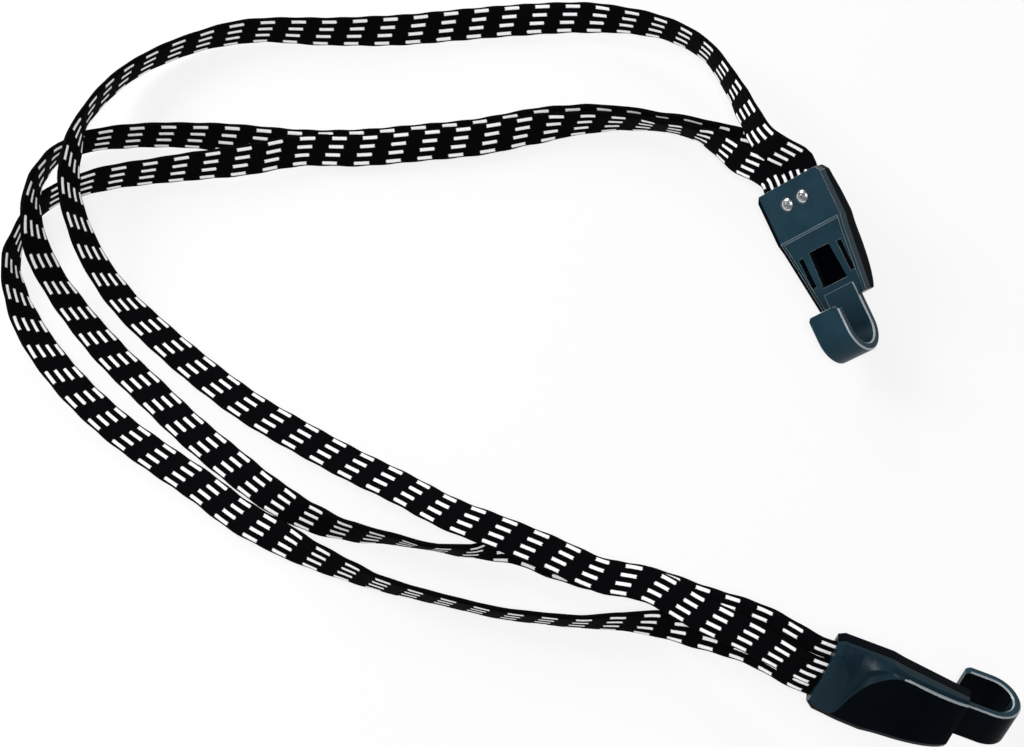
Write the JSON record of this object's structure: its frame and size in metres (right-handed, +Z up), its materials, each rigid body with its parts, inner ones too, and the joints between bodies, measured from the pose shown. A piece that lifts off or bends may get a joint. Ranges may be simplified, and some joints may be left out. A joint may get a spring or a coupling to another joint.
{
  "type": "bungee strap",
  "caption": "Flat woven elastic luggage straps screwed at both ends into moulded J hook fittings, lying in a loose U; they stretch over a load and hook onto a rack.",
  "frame": {"origin": "on the table, under the middle of the box round both fittings; the straps reach out from it towards -X and +Y", "axes": "+Z up from the table, +X to the right as seen by the picture, +Y away from the viewer; the pulled end leaves along +X"},
  "size_m": [0.3644, 0.2961, 0.0405],
  "materials": {
    "hook_plastic": "fine moulded texture, blue grey black",
    "cover_plastic": "smooth moulded, blue grey black",
    "screw_zinc": "bright zinc plated steel",
    "woven_sleeve": "black woven polyester with white dashes",
    "rubber_core": "natural latex"
  },
  "bodies": {
    "held_end_and_straps": {"end_b_hook": "hook_plastic", "end_b_cover": "cover_plastic", "end_b_screw_1": "screw_zinc", "end_b_screw_2": "screw_zinc", "inner_strap_sleeve": "woven_sleeve", "inner_strap_core": "rubber_core", "middle_strap_sleeve": "woven_sleeve", "middle_strap_core": "rubber_core", "outer_strap_sleeve": "woven_sleeve", "outer_strap_core": "rubber_core"},
    "pulled_end": {"end_a_hook": "hook_plastic", "end_a_cover": "cover_plastic", "end_a_screw_1": "screw_zinc", "end_a_screw_2": "screw_zinc"}
  },
  "joints": [
    {"name": "stretch", "type": "slide", "parent": "held_end_and_straps", "child": "pulled_end", "axis": [1, 0, 0], "range_m": [0, 0.25], "stiffness_N_per_m": 150, "deforming": ["inner_strap_sleeve", "inner_strap_core", "middle_strap_sleeve", "middle_strap_core", "outer_strap_sleeve", "outer_strap_core"]}
  ]
}
